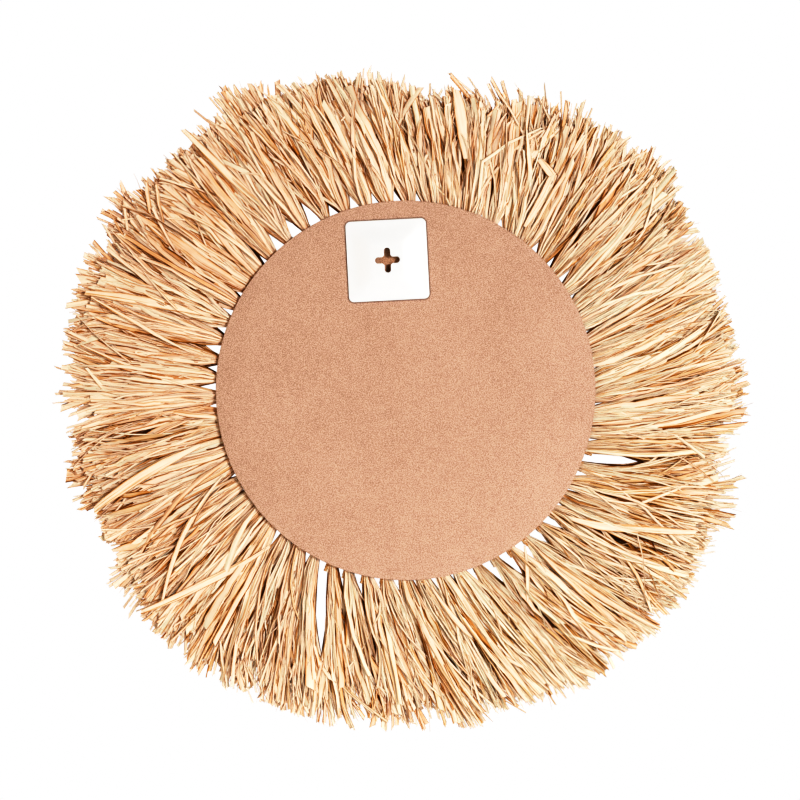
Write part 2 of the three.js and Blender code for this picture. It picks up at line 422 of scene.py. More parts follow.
def makeBoard():
    low, high = boardLow.y, boardHigh.y
    soft, steps = board["edgeRound"], board["roundSteps"]
    rim = boardRadius - soft
    profile = [(share * boardRadius, low, 0) for share in board["frontRings"]]
    for depth, turn in ((low + soft, -90), (high - soft, 0)):
        for step in range(steps + 1):
            angle = math.radians(turn + 90 * step / steps)
            profile.append((rim + soft * math.cos(angle), depth + soft * math.sin(angle), 0))
    recess, floorDepth = board["recessRadius"], high - board["recessDepth"]
    for share in board["backRings"]:
        profile.append((rim * (1 - share) + recess * share, high, share))
    profile += [(recess, floorDepth, 1), (recess * 0.5, floorDepth, 1)]
    angles = np.linspace(0, 2 * math.pi, board["segments"], endpoint=False)
    towards = np.array((slotX - centreX, 0, slotZ - centreZ))
    rows = [place(angles, radius, depth) + towards * share for radius, depth, share in profile]
    count = board["segments"]
    faces = discFaces(len(rows), count)
    piece = addPiece("board", np.concatenate(rows), faces, ["backing_board"])
    sharpenEdges(piece, 40)
    skin = fibreboardFinish("raw_fibreboard")
    shadedCore = fibreboardFinish("cut_fibreboard_painted_shade", fibreboard["coreShade"])
    paint(piece, skin, shadedCore)
    coreShade = [False] * len(faces)  # the recess, in painted shade: its wall, its floor's ring and its floor
    coreShade[-2 - 2 * count:-2] = [True] * (2 * count)
    coreShade[-1] = True
    piece.data.polygons.foreach_set("material_index", np.array(coreShade, np.int32))
    print("board done")


makeBoard()

# silvered glass with a ground edge
glass = {
    "segments": 240,
    "chamfer": 1.0 * mm,
    "silver": (0.93, 0.95, 0.95),
    "silverHazed": (0.88, 0.91, 0.91),
    "groundDark": (0.42, 0.52, 0.49),
    "groundPale": (0.6, 0.68, 0.66),
}


def glassFinish():
    finish = Finish("silvered_glass", Metallic=1.0)
    haze = finish.noise(finish.objectPoint(), 9.0, 3.0)
    finish.set("Base Color", finish.mix(haze * 0.5, glass["silver"], glass["silverHazed"]))
    finish.set("Roughness", 0.012 + haze * 0.02)
    return finish


def groundEdgeFinish():
    finish = Finish("ground_glass_edge")
    grind = finish.noise(finish.objectPoint(), 700.0, 2.0)
    finish.set("Base Color", finish.mix(grind, glass["groundDark"], glass["groundPale"]))
    finish.set("Roughness", 0.22 + grind * 0.25)
    return finish


def makeGlass():
    radius = (glassHigh.z - glassLow.z) / 2
    back, front, chamfer = glassHigh.y, glassLow.y, glass["chamfer"]
    profile = [(radius - chamfer, front), (radius, front + chamfer), (radius, back)]
    count = glass["segments"]
    angles = np.linspace(0, 2 * math.pi, count, endpoint=False)
    rows = [place(angles, size, depth) for size, depth in profile]
    faces = discFaces(len(rows), count)
    piece = addPiece("glass", np.concatenate(rows), faces, ["mirror_glass"])
    sharpenEdges(piece, 20)
    paint(piece, glassFinish(), groundEdgeFinish())
    piece.data.polygons.foreach_set("material_index", [1] * (len(faces) - 2) + [0, 1])
    print("glass done")


makeGlass()

# the fringe: roots, lean and reach as in the solids, then its partings, gaps and cut ends
# each wave round the ring has its order, its size and its phase in degrees
fringe = {
    "tassels": 62,
    "seed": 4100,
    "ring": 161 * mm,
    "drop": 1.5 * mm,
    "wireRadius": 2 * mm,
    "rootStart": 0.3,
    "rootWaves": [(1, 4.5, -176), (2, 1.7, 91)],
    "lean": 10,
    "leanWaves": [(1, 6.4, 44), (2, 6.6, -136), (3, 1.5, 43), (4, 2.7, 72)],
    "reach": 290.7 * mm,
    "reachWaves": [(1, 7.6, 120), (2, 5.6, 28), (3, 1.6, -76), (4, 6.3, 204), (5, 2.7, 198), (6, 2, 77)],
    "trimWaves": [(1, 3.5, 78)],
    "cuts": [(37, 8), (87, 6), (247, 5), (267, 9), (337, 11)],  # where the ends are shorter, by how many mm
    "cutWidth": 7,
    "knotWidth": 7.4 * mm,
    "knotCrowd": 9.2 * mm,
    "crowding": 1.05,
    "knotOpen": 2.6 * mm,
    "flare": 10.5 * mm,
    "flareSpread": 13.0 * mm,
    "flareLeast": 3 * mm,
    "flareShape": 1.7,
    "openWaves": [
        (1, 0.15, -190), (2, 0.5, 123), (4, 0.3, -112),
        (5, 0.45, -121), (6, 0.3, 75), (8, 0.4, 151),
    ],
    "openMore": 0.25,
    "openBy": 4.5 * mm,
    "notch": 26,  # dips in the outline between tassels, deeper low down
    "notchLow": 0.6,
    "notchRare": 2.5,
    "notchWidth": 0.4,
    "partings": [(236.4, 68 * mm), (332.3, 47 * mm)],
    "partingShape": 2.4,
    "partingSide": 0.68,  # how near to a parting a strand may lie, and where that ends
    "partingEnd": 1.45,
    "partingClose": 6,
    "doublesAt": [-4, 183, 198, 243, 275, 338],
    "tilt": 0.035,
    # painted light: the fringe paler on one side of the ring
    "litSideWaves": [(1, 0.04, -95), (2, 0.025, -120)],
    "hueWaves": [(1, 0.26, 40)],
    "broadWaves": [(1, 0.2, -120)],
}


def waves(terms, angle):
    return sum(size * np.cos(order * angle + math.radians(phase)) for order, size, phase in terms)


def scatter(index, salt):
    value = math.sin(index * 12.9898 + salt * 78.233) * 43758.5453
    return value - math.floor(value)


def apart(angle, degrees):
    turn = angle - math.radians(degrees)
    return abs(math.atan2(math.sin(turn), math.cos(turn)))


def rootAngle(index):
    even = 2 * math.pi * index / fringe["tassels"]
    return even + math.radians(fringe["rootStart"] + waves(fringe["rootWaves"], even))


def borderAngle(index):
    return (rootAngle(index) + rootAngle(index + 1)) / 2


def ringRadius(angle):
    return fringe["ring"] - fringe["drop"] * np.sin(angle)


def sweep(angle, radius):
    lean = np.radians(fringe["lean"] + waves(fringe["leanWaves"], angle))
    return np.tan(lean) * np.log(radius / ringRadius(angle))


def reachAt(angle):
    uneven = waves(fringe["reachWaves"], angle) + waves(fringe["trimWaves"], angle)
    for at, depth in fringe["cuts"]:
        uneven -= depth * math.exp(-((apart(angle, at) / math.radians(fringe["cutWidth"])) ** 2))
    return fringe["reach"] + uneven * mm


halfPitch = math.pi / fringe["tassels"]


# where the tassels stand apart at the wire, and where they crowd together
def opening(border):
    return fringe["openMore"] + waves(fringe["openWaves"], borderAngle(border))


# how fast the gap after a root closes, and whether it is a long parting
def borderFlare(border):
    for at, length in fringe["partings"]:
        if apart(borderAngle(border), at) < halfPitch:
            return length, True
    length = fringe["flare"] + fringe["flareSpread"] * (scatter(border, 1) - 0.5)
    return max(length + fringe["openBy"] * opening(border), fringe["flareLeast"]), False


# where one side of a tassel runs, out from the knot
def sideAngle(index, border, hand, radius):
    root = rootAngle(index)
    ring = ringRadius(root)
    past = np.maximum(radius - ring - fringe["wireRadius"], 0)
    length, parting = borderFlare(border)
    shape = fringe["partingShape"] if parting else fringe["flareShape"]
    opened = 1 - np.exp(-((past / length) ** shape))
    spare = opening(border)
    crowded = min(fringe["crowding"] * scatter(border, 3) * max(1 - spare, 0), 1)
    wider = fringe["knotCrowd"] * crowded - fringe["knotOpen"] * max(spare, 0)
    width = fringe["knotWidth"] + (0 if parting else wider)
    knotSide = root + hand * width / 2 / ring + sweep(root, radius)
    line = borderAngle(border)
    return knotSide * (1 - opened) + (line + sweep(line, radius)) * opened


# wire that carries the tassels
wire = {
    "segments": 372,
    "sides": 10,
    "dark": (0.022, 0.017, 0.013),
    "scuffed": (0.07, 0.052, 0.04),
}


def wireFinish():
    finish = Finish("dark_wire", Metallic=0.6)
    scuff = finish.noise(finish.objectPoint(), 260.0, 4.0, 0.65)
    finish.set("Base Color", finish.mix(scuff, wire["dark"], wire["scuffed"]))
    finish.set("Roughness", 0.35 + scuff * 0.3)
    finish.bump(scuff, 0.3, 0.1 * mm)
    return finish


def makeWire():
    angles = np.linspace(0, 2 * math.pi, wire["segments"], endpoint=False)
    turns = np.linspace(0, 2 * math.pi, wire["sides"], endpoint=False)
    thick = fringe["wireRadius"]
    outward = ringRadius(angles)[:, None] + thick * np.sin(turns)[None, :]
    depth = wireDepth + thick * np.cos(turns)[None, :]
    vertices = place(angles[:, None], outward, depth).reshape(-1, 3)
    faces = ringFaces(wire["segments"], wire["sides"], closeRows=True)
    piece = addPiece("wire", vertices, faces, ["wire_ring"])
    paint(piece, wireFinish())
    print("wire done")


makeWire()

# raffia: lengthwise fibres, from brown through straw to cream
raffia = {
    "stops": [
        (0.0, (0.105, 0.034, 0.003)),
        (0.25, (0.44, 0.178, 0.018)),
        (0.5, (0.672, 0.437, 0.25)),
        (0.75, (0.742, 0.604, 0.495)),
        (1.0, (0.783, 0.728, 0.61)),
    ],
    "pink": (1.03, 0.965, 0.97),
    "straw": (0.945, 1.02, 1.03),
    "hue": 0.34,  # from pink to straw
    "hueSpread": 0.28,
    "fibre": 0.52,
    "fibreGrain": (1.2, 0.04, 1.0),  # across, along, from strip to strip
    "streak": 0.3,
    "streakGrain": (0.5, 0.02, 1.0),
    "blotch": 0.3,
    "blotchGrain": (0.12, 0.07, 1.0),
    # painted shade in thin lengthwise creases
    "creaseShade": 0.45,
    "creaseShadeGrain": (0.8, 0.008, 1.0),
    "creaseShadeAt": (0.6, 0.68),
    # painted shade: strips darker towards their edges
    "edge": 0.8,
    "edgeShadeFall": 5,
    "stripGap": 7.31,  # sets the strips apart in the noise
}


def raffiaFinish():
    finish = Finish("raffia", Specular_IOR_Level=0.12)
    lay = finish.attribute("lay", "Vector")  # across and along in mm, then the strip's own number
    look = finish.node("SeparateXYZ", {}, {0: finish.attribute("look", "Vector")})
    tone, hue, edge = (finish.value(look, axis) for axis in "XYZ")
    fibre = finish.noise(finish.stretch(lay, raffia["fibreGrain"]), 1.0, 3.0, 0.6)
    streak = finish.noise(finish.stretch(lay, raffia["streakGrain"]), 1.0, 2.0)
    blotch = finish.noise(finish.stretch(lay, raffia["blotchGrain"]), 1.0, 3.0, 0.6)
    crease = finish.noise(finish.stretch(lay, raffia["creaseShadeGrain"]), 1.0, 1.0)
    low, high = raffia["creaseShadeAt"]
    # painted shade along the creases
    creaseShade = finish.node("MapRange", {}, {"Value": crease, "From Min": low, "From Max": high})
    share = tone + (fibre - 0.5) * raffia["fibre"] + (streak - 0.5) * raffia["streak"]
    share = share + (blotch - 0.5) * raffia["blotch"]
    # painted shade at the strips' edges and in their creases
    share = share - edge ** raffia["edgeShadeFall"] * raffia["edge"] - finish.value(creaseShade) * raffia["creaseShade"]
    tint = finish.mix(hue, raffia["pink"], raffia["straw"])
    finish.set("Base Color", finish.mix(1.0, finish.ramp(share, raffia["stops"]), tint, "MULTIPLY"))
    finish.set("Roughness", 0.6 + fibre * 0.3)
    finish.bump(fibre + streak * 0.5, 0.4, 0.12 * mm)
    return finish


# ribbons gathered into one mesh, with what the raffia finish reads
class Bundle:
    def __init__(self):
        self.points, self.faces = [], []
        self.lay, self.look = [], []
        self.column, self.crisp, self.rim = [], [], []
        self.cells = []
        self.total = self.ribbons = 0

    # sections: ribbon, station, point round the section, anticlockwise seen from the far end
    def add(self, sections, across, edge, tone, hue):
        shape = count, stations, sides = sections.shape[:3]
        index = self.total + np.arange(count * stations * sides).reshape(shape)
        around = np.roll(index, -1, axis=2)
        quads = np.stack([index[:, :-1], around[:, :-1], around[:, 1:], index[:, 1:]], axis=-1)
        self.faces += quads.reshape(-1, 4).tolist()
        self.faces += index[:, 0, ::-1].tolist() + index[:, -1].tolist()  # cut ends
        self.points.append(sections.reshape(-1, 3))
        number = np.arange(self.ribbons, self.ribbons + count)[:, None, None]
        steps = np.linalg.norm(np.diff(sections.mean(axis=2), axis=1), axis=-1)
        along = np.cumsum(np.pad(steps, ((0, 0), (1, 0))), axis=1)[:, :, None]
        self.keep(self.lay, shape, across / mm, along / mm, number * raffia["stripGap"])
        self.keep(self.look, shape, tone[..., None], hue[..., None], edge)
        station = np.arange(stations)[:, None]
        self.keep(self.column, shape, number * len(wideSection) + np.arange(sides))
        narrow = sides == len(narrowSection)  # crisp all round, a wide one along its two edges
        self.keep(self.crisp, shape, edge > (-1 if narrow else 0.9))
        self.keep(self.rim, shape, (station == 0) | (station == stations - 1))
        self.cells.append((self.ribbons, shape))
        self.total += index.size
        self.ribbons += count

    def keep(self, store, shape, *values):
        spread = [np.broadcast_to(value, shape).ravel() for value in values]
        store.append(np.stack(spread, axis=-1) if len(spread) > 1 else spread[0])

    # each ribbon unrolled into a cell of its own, between its cut ends
    def unrolled(self, rows=4):
        side, end, capHeight = 0.04, 0.05, 0.015  # margins in the cell
        columns = math.ceil(self.ribbons / rows)
        corners = []
        for first, (count, stations, sides) in self.cells:
            number = np.arange(first, first + count)
            cell = np.stack([number % columns, number // columns], axis=-1)
            j, k = np.meshgrid(np.arange(sides), np.arange(stations - 1))
            u = np.stack([j, j + 1, j + 1, j], axis=-1) / sides
            v = np.stack([k, k, k + 1, k + 1], axis=-1) / (stations - 1)
            wall = np.stack([side + (1 - 2 * side) * u, end + (1 - 2 * end) * v], axis=-1).reshape(-1, 2)
            turn = np.arange(sides) / sides * 2 * math.pi
            cap = np.stack([0.5 + 0.4 * np.cos(turn), capHeight * np.sin(turn)], axis=-1)
            for patch in (wall, cap * (1, -1) + (0, end / 2), cap + (0, 1 - end / 2)):
                corners.append((cell[:, None, :] + patch).reshape(-1, 2))
        return np.concatenate(corners) / (columns, rows)

    def piece(self, name, node, finish):
        piece = addPiece(name, np.concatenate(self.points), self.faces, [node])
        mesh = piece.data
        for label, values in (("lay", self.lay), ("look", self.look)):
            layer = mesh.attributes.new(label, "FLOAT_VECTOR", "POINT")
            layer.data.foreach_set("vector", np.concatenate(values).astype(np.float32).ravel())
        ends = np.empty(len(mesh.edges) * 2, np.int32)
        mesh.edges.foreach_get("vertices", ends)
        a, b = ends.reshape(-1, 2).T
        column, crisp, rim = (np.concatenate(values) for values in (self.column, self.crisp, self.rim))
        sharp = (column[a] == column[b]) & crisp[a] | rim[a] & rim[b]
        mesh.attributes.new("sharp_edge", "BOOLEAN", "EDGE").data.foreach_set("value", sharp)
        unwrap = mesh.uv_layers.new(name="OFBake")
        unwrap.uv.foreach_set("vector", self.unrolled().astype(np.float32).ravel())
        paint(piece, finish)
        return piece


# directions along, across and off the face of each ribbon
def ribbonAxes(centre, roll, facing):
    along = np.gradient(centre, axis=1)
    along /= np.linalg.norm(along, axis=-1, keepdims=True)
    flat = np.cross(np.broadcast_to(facing, along.shape), along)
    flat /= np.linalg.norm(flat, axis=-1, keepdims=True)
    off = np.cross(along, flat)
    cos, sin = np.cos(roll)[..., None], np.sin(roll)[..., None]
    return along, flat * cos + off * sin, off * cos - flat * sin


# a ribbon's cross-section: share of the half width, face it lies on
narrowSection = ((1, 0), (0, 1), (-1, 0), (0, -1))
wideSection = ((1, 0), (0.55, 1), (0, 1), (-0.55, 1), (-1, 0), (-0.55, -1), (0, -1), (0.55, -1))


# what all strands share; distances from the wire in mm, places along a strand from 0 to 1
strand = {
    "thick": 0.2 * mm,
    "arch": 1.5,  # how a bowed strand curves across
    "wallGap": 0.1 * mm,  # nothing passes the wall
    "middleGap": 0.4 * mm,
    "late": 1.3,  # how late a strand leaves its place at the root
    "weave": 0.05,
    "depthAt": (0, 6, 14, 64, 100, 128),
    "halfDepth": (4.3, 5.4, 7.2, 8.6, 4.8, 1.8),
    "thinSides": 0.7,  # the tassel is thick in the middle and thin at its sides
    "drift": 0.12,
    "stiff": 12,
    "taperFrom": 0.78,
    "taper": 0.8,
    "uneven": 0.12,
    "crumpleRoll": 0.5,
    "curl": 0.8,  # more bow near the root
    "curlOver": 15,
}


def addRibbons(bundle, section, centre, roll, half, bow, slant, tone, hue, facing=(0, 1, 0)):
    along, across, off = ribbonAxes(centre, roll, facing)
    spot, face = np.array(section, float).T
    wide = half[..., None] * spot
    lift = (bow * half)[..., None] * (1 - np.abs(spot) ** strand["arch"]) + face * strand["thick"] / 2
    sections = centre[:, :, None] + across[:, :, None] * wide[..., None]
    sections = sections + off[:, :, None] * lift[..., None]
    sections[:, -1] += along[:, -1, None] * (half[:, -1:] * slant * spot)[..., None]
    sections[..., 1] = np.minimum(sections[..., 1], -strand["wallGap"])
    bundle.add(sections, wide, np.abs(spot), tone, hue)


# kinds of strand in a tassel; lengths in mm, sides and layers as shares of its half width and depth
strips = {
    "count": 116,
    "segments": 8,
    "section": narrowSection,
    "width": 2.15,
    "widthSpread": 0.54,
    "widthRange": (0.6, 5.5),
    "layer": (0.3, 1.1),
    "begin": (0.0, 0.0),
    "gather": (0.5, 26),
    "sway": 0.6,
    "crossing": 0.26,
    "crossSway": 1.5,
    "kinked": 0.32,
    "kink": 1.9,
    "over": -5.0,
    "trim": 3.2,
    "shorter": 0.07,
    "shorterBy": (6, 40),
    "ripple": 0.8,
    "crumple": 0.45,
    "roll": 0.45,
    "twist": 0.4,
    "bow": 0.27,
    "slant": 0.9,
    "pointed": 0.12,
    "tone": 0.0,
}
ribbons = {
    **strips,
    "count": 13,
    "segments": 12,
    "section": wideSection,
    "pointed": 0.45,
    "width": 5.8,
    "widthSpread": 0.32,
    "widthRange": (3.5, 11),
    "layer": (0.7, 1.12),
    "gather": (0.3, 48),
    "crossing": 0.2,
    "over": -5.5,
    "roll": 0.35,
    "twist": 0.3,
    "bow": 0.16,
    "slant": 0.4,
    "tone": 0.02,
}
loose = {
    **strips,
    "count": 16,
    "width": 1.9,
    "layer": (1.02, 1.4),
    "sway": 0.7,
    "crossing": 0.6,
    "crossSway": 2.0,
    "kinked": 0.6,
    "kink": 3.0,
    "shorter": 0.3,
    "shorterBy": (10, 50),
    "ripple": 1.4,
}
ends = {
    **strips,
    "count": 14,
    "segments": 4,
    "width": 2.4,
    "widthSpread": 0.4,
    "layer": (0.3, 0.95),
    "begin": (0.55, 0.8),
    "gather": (1.0, 1),
    "crossing": 0.25,
    "over": -4.0,
    "shorter": 0.0,
}
hairs = {
    **ends,
    "count": 2,
    "segments": 8,
    "pointed": 0.8,
    "trim": 5.0,
    "width": 0.36,
    "widthRange": (0.25, 0.5),
    "over": 2.5,
    "sway": 0.8,
    "kinked": 1.0,
    "kink": 3.0,
    "ripple": 2.5,
    "tone": -0.4,
}
# strands hang together in locks, so many across each face
locks = {"across": 4, "sway": 0.45, "trim": 7.5, "tone": 0.06}
# tones from brown at 0 to cream at 1: painted shade, dark inside the tassel and near the roots, pale on its
# faces and at its tips, with painted light at the very tips
tones = {
    "layers": (0.3, 0.6, 0.8, 0.94, 1.1),
    "inside": (0.02, 0.19, 0.52, 0.84, 0.93),
    "tip": 0.95,
    "tipShare": 0.75,
    "tipFrom": 0.58,
    "tipOver": 0.3,
    "rootShade": 0.08,
    "rootShadeOver": 8,
    "bandDull": 0.08,
    "bandAt": 0.75,
    "bandOver": 0.22,
    "tipLight": 0.12,
    "tipLightFrom": 0.86,
    "spread": 0.12,
    "range": (0.02, 0.98),
}


class Tassel:
    def __init__(self, index, bundle):
        self.index, self.bundle = index, bundle
        self.rng = np.random.default_rng(fringe["seed"] + index)
        self.root = rootAngle(index)
        self.ring = ringRadius(self.root)
        self.tipAngle = self.root + sweep(self.root, fringe["reach"])
        self.tilt = fringe["tilt"] * (2 * scatter(index, 2) - 1)
        # painted light round the ring
        self.tone = waves(fringe["litSideWaves"], self.root)
        self.broad = 1 + waves(fringe["broadWaves"], self.root)
        self.hue = raffia["hue"] + waves(fringe["hueWaves"], self.root)
        deep = fringe["notch"] * (1 - fringe["notchLow"] * math.sin(self.root))
        self.notches = [deep * scatter(border, 5) ** fringe["notchRare"] for border in (index - 1, index)]
        count = 2 * locks["across"]
        self.lockSway = self.rng.normal(0, locks["sway"], count)
        self.lockTrim = self.rng.normal(0, locks["trim"], count)
        self.lockTone = self.rng.normal(0, locks["tone"], count)

    # the tassel whose root is nearest takes a ribbon
    def claim(self, degrees):
        near = min(range(-2, fringe["tassels"] + 2), key=lambda index: apart(rootAngle(index), degrees))
        return near % fringe["tassels"] == self.index

    def angles(self, side, radius):
        before = sideAngle(self.index, self.index - 1, -1, radius)
        after = sideAngle(self.index, self.index, 1, radius)
        share = (self.kept(side, radius) + 1) / 2
        return before * (1 - share) + after * share

    # strands keep to their own side of a long parting
    def kept(self, side, radius):
        for border, hand in ((self.index - 1, -1), (self.index, 1)):
            length, parting = borderFlare(border)
            if parting:
                past = np.maximum(radius - self.ring, 0) / length
                limit = fringe["partingSide"] + (past / fringe["partingEnd"]) ** fringe["partingClose"]
                side = hand * np.minimum(hand * side, limit)
        return side

    def toneAt(self, layer, run, past):
        # painted shade: darker the deeper a strand lies in the tassel, fading out towards the tips
        inside = np.interp(np.abs(layer), tones["layers"], tones["inside"])
        fade = np.clip((run - tones["tipFrom"]) / tones["tipOver"], 0, 1)
        tip = tones["tipShare"] * np.maximum(tones["tip"] - inside, 0) * fade
        # painted shade near the roots, beside the board's edge
        rootShade = tones["rootShade"] * np.exp(-past / tones["rootShadeOver"])
        bandDull = tones["bandDull"] * np.exp(-(((run - tones["bandAt"]) / tones["bandOver"]) ** 2))
        # painted light at the very tips
        tipLit = np.clip((run - tones["tipLightFrom"]) / (1 - tones["tipLightFrom"]), 0, 1)
        return self.tone + inside + tip - rootShade - bandDull + tones["tipLight"] * tipLit

    def addStrands(self, kind):
        count = round(kind["count"] * self.broad) if kind is ribbons else kind["count"]

        def even(low, high):
            return self.rng.uniform(low, high, (count, 1))

        def bell(spread):
            return self.rng.normal(0, spread, (count, 1))

        def wave(size):
            return bell(size) * np.sin(2 * math.pi * (t * even(0.5, 1.6) + even(0, 1)))

        t = np.linspace(0, 1, kind["segments"] + 1)[None, :]
        begin = even(*kind["begin"])
        run = begin + (1 - begin) * t
        layer = even(*kind["layer"]) * np.where(even(-1, 1) > 0, 1, -1)
        sideRoot = even(-1, 1)
        lock = ((sideRoot + 1) * (locks["across"] / 2 - 0.001)).astype(int) + locks["across"] * (layer > 0)
        sideTip = sideRoot + self.lockSway[lock] + bell(kind["sway"])
        sideTip += (even(0, 1) < kind["crossing"]) * bell(kind["crossSway"])
        kink = (even(0, 1) < kind["kinked"]) * bell(kind["kink"]) * np.maximum(run - even(0.3, 0.8), 0)
        side = sideRoot + (sideTip - sideRoot) * run ** strand["late"] + kink + wave(strand["weave"]) * run
        trimmed = self.rng.exponential(kind["trim"], (count, 1)) + self.lockTrim[lock]
        trimmed += (even(0, 1) < kind["shorter"]) * even(*kind["shorterBy"])
        notch = np.where(sideTip > 0, self.notches[1], self.notches[0])
        trimmed += notch * np.exp(-(((np.abs(sideTip) - 1) / fringe["notchWidth"]) ** 2))
        start = self.ring + fringe["wireRadius"]
        radius = start + (reachAt(self.tipAngle) + (kind["over"] - trimmed) * mm - start) * run
        past = (radius - self.ring) / mm
        rounded = np.sqrt(1 - strand["thinSides"] * np.minimum(np.abs(side), 1) ** 2)
        deep = np.interp(past, strand["depthAt"], strand["halfDepth"]) * rounded
        offset = deep * (layer + bell(strand["drift"]) * run) + wave(kind["ripple"]) * run
        depth = wireDepth + self.tilt * (radius - self.ring) + offset * mm
        depth = np.minimum(depth, -strand["middleGap"])
        crumple = self.rng.normal(0, kind["crumple"] * mm, (2, *radius.shape))
        crumple = crumple * np.minimum(past / strand["stiff"], 1)
        centre = place(self.angles(side, radius) + crumple[0] / radius, radius, depth + crumple[1])
        width = self.broad * kind["width"] * np.exp(bell(kind["widthSpread"]))
        width = np.clip(width, *kind["widthRange"])
        narrow, gathered = kind["gather"]
        swell = narrow + (1 - narrow) * np.clip(past / gathered, 0, 1)
        thinned = np.clip((t - strand["taperFrom"]) / (1 - strand["taperFrom"]), 0, 1)
        taper = (even(0, 1) < kind["pointed"]) * thinned
        half = width / 2 * mm * swell * (1 - strand["taper"] * taper) * (1 + wave(strand["uneven"]))
        roll = bell(kind["roll"]) * (1 - t) + bell(kind["roll"]) * t + wave(kind["twist"])
        roll = roll + self.rng.normal(0, kind["crumple"] * strand["crumpleRoll"], radius.shape)
        curl = 1 + strand["curl"] * np.exp(-past / strand["curlOver"])
        bow = np.clip(bell(kind["bow"]), -1, 1) * curl
        tone = self.toneAt(layer, run, past) + kind["tone"] + self.lockTone[lock] + bell(tones["spread"])
        tone = np.clip(tone, *tones["range"])
        hue = np.clip(self.hue + bell(raffia["hueSpread"]), 0, 1)
        addRibbons(self.bundle, kind["section"], centre, roll, half, bow, bell(kind["slant"]), tone, hue)


# ribbons that lie clear of the rest: degrees and mm from the centre, then the width in mm
standouts = {
    "paths": [
        ([(67.5, 208), (70, 236), (72.5, 265)], 11),
        ([(46, 176), (46.5, 205), (47.5, 226), (52, 232)], 9),
        ([(120, 200), (121.5, 240), (122.5, 298)], 7),
        ([(151, 182), (153, 235), (155, 291)], 8),
        ([(162, 190), (158, 240), (155.5, 285)], 3.4),
        ([(171, 190), (167, 240), (164, 285)], 3),
        ([(187, 185), (190, 240), (193, 290)], 9),
        ([(221, 180), (216, 240), (212, 300)], 7),
        ([(197, 175), (205, 230), (213, 280)], 4.5),
        ([(269.5, 172), (276, 215), (285, 261)], 5),
        ([(299.5, 170), (295, 195), (292, 212)], 3.6),
        ([(313.5, 175), (317, 205), (322, 240), (326, 281)], 7.5),
    ],
    "stations": 13,
    "lift": 5.5 * mm,  # above the wire, then how much more and over which length
    "rise": 4.0 * mm,
    "riseOver": 25 * mm,
    "rootWidth": 0.4,
    "wideAt": 0.35,
    "thinFrom": 0.7,
    "thin": 0.45,
    "roll": 0.2,
    "bow": (0.06, 0.05),
    "slant": 0.5,
    "tone": 0.92,
    "hue": 0.25,
}


def addStandout(tassel, stops, width):
    values = standouts
    count = values["stations"]
    angle, radius = np.array(stops).T
    t = np.linspace(0, 1, count)
    spots = np.linspace(0, 1, len(stops))
    bend = np.interp(t, spots, np.radians(angle))
    reach = np.interp(t, spots, radius * mm)
    rise = np.minimum((reach - tassel.ring) / values["riseOver"], 1)
    centre = place(bend, reach, wireDepth + values["lift"] + values["rise"] * rise)[None]
    widened = values["rootWidth"] + (1 - values["rootWidth"]) * np.minimum(t / values["wideAt"], 1)
    thinned = np.maximum(t - values["thinFrom"], 0) / (1 - values["thinFrom"])
    half = width / 2 * mm * widened * (1 - values["thin"] * thinned)
    roll = tassel.rng.normal(0, values["roll"], (1, count))
    bow = tassel.rng.normal(*values["bow"], (1, count))
    slant, tone, hue = (np.full((1, 1), values[name]) for name in ("slant", "tone", "hue"))
    addRibbons(tassel.bundle, wideSection, centre, roll, half[None], bow, slant, tone, hue)


# the hitch on the wire: loops round it and bars across the legs
knot = {
    "loops": 7,
    "loopSteps": 9,
    "loopWidth": 2.3 * mm,
    "loopRadius": 3.5 * mm,
    "loopTone": (0.55, 0.12),
    "leg": 10 * mm,
    "legSteps": 4,
    "bars": 3,
    "barSteps": 13,
    "barTurn": (-35, 215),
    "barWidth": 2.0 * mm,
    "barAcross": 4.2 * mm,
    "barDepth": 4.7 * mm,
    "barAt": 3.6 * mm,
    "barStep": 1.4 * mm,
    "barBow": 0.3,
    "barTone": (0.66, 0.1),
}


def awayFrom(centre, middle):
    facing = centre - middle
    return facing / np.linalg.norm(facing, axis=-1, keepdims=True)


# the paler a loop or a bar, the more straw its hue
def addLoops(tassel):
    rng, root, ring = tassel.rng, tassel.root, tassel.ring
    count, legSteps = knot["loops"], knot["legSteps"]
    turn = np.radians(np.linspace(90, 270, knot["loopSteps"]))[None, :]
    size = knot["loopRadius"] + rng.uniform(-0.3, 0.5, (count, 1)) * mm
    leg = np.linspace(knot["leg"], 1 * mm, legSteps)[None, :].repeat(count, axis=0)
    straight = size.repeat(legSteps, 1)
    outward = np.concatenate([leg, size * np.cos(turn), leg[:, ::-1]], axis=1)
    depth = np.concatenate([straight, size * np.sin(turn), -straight], axis=1)
    spread = np.linspace(-0.5, 0.5, count)[:, None] * (fringe["knotWidth"] - knot["loopWidth"] * 0.6)
    sideways = spread + rng.normal(0, 0.25, outward.shape) * mm
    centre = place(root + sideways / ring, ring + outward, wireDepth + depth)
    half = knot["loopWidth"] / 2 * rng.uniform(0.7, 1.2, (count, 1)) * np.ones(outward.shape)
    bow = rng.uniform(0.1, 0.6, (count, 1))
    tone = np.clip(rng.normal(*knot["loopTone"], (count, 1)), 0.1, 0.9)
    facing = awayFrom(centre, place(root, ring, wireDepth))
    still = np.zeros(outward.shape)
    addRibbons(tassel.bundle, narrowSection, centre, still, half, bow, still[:, :1], tone, tone, facing)


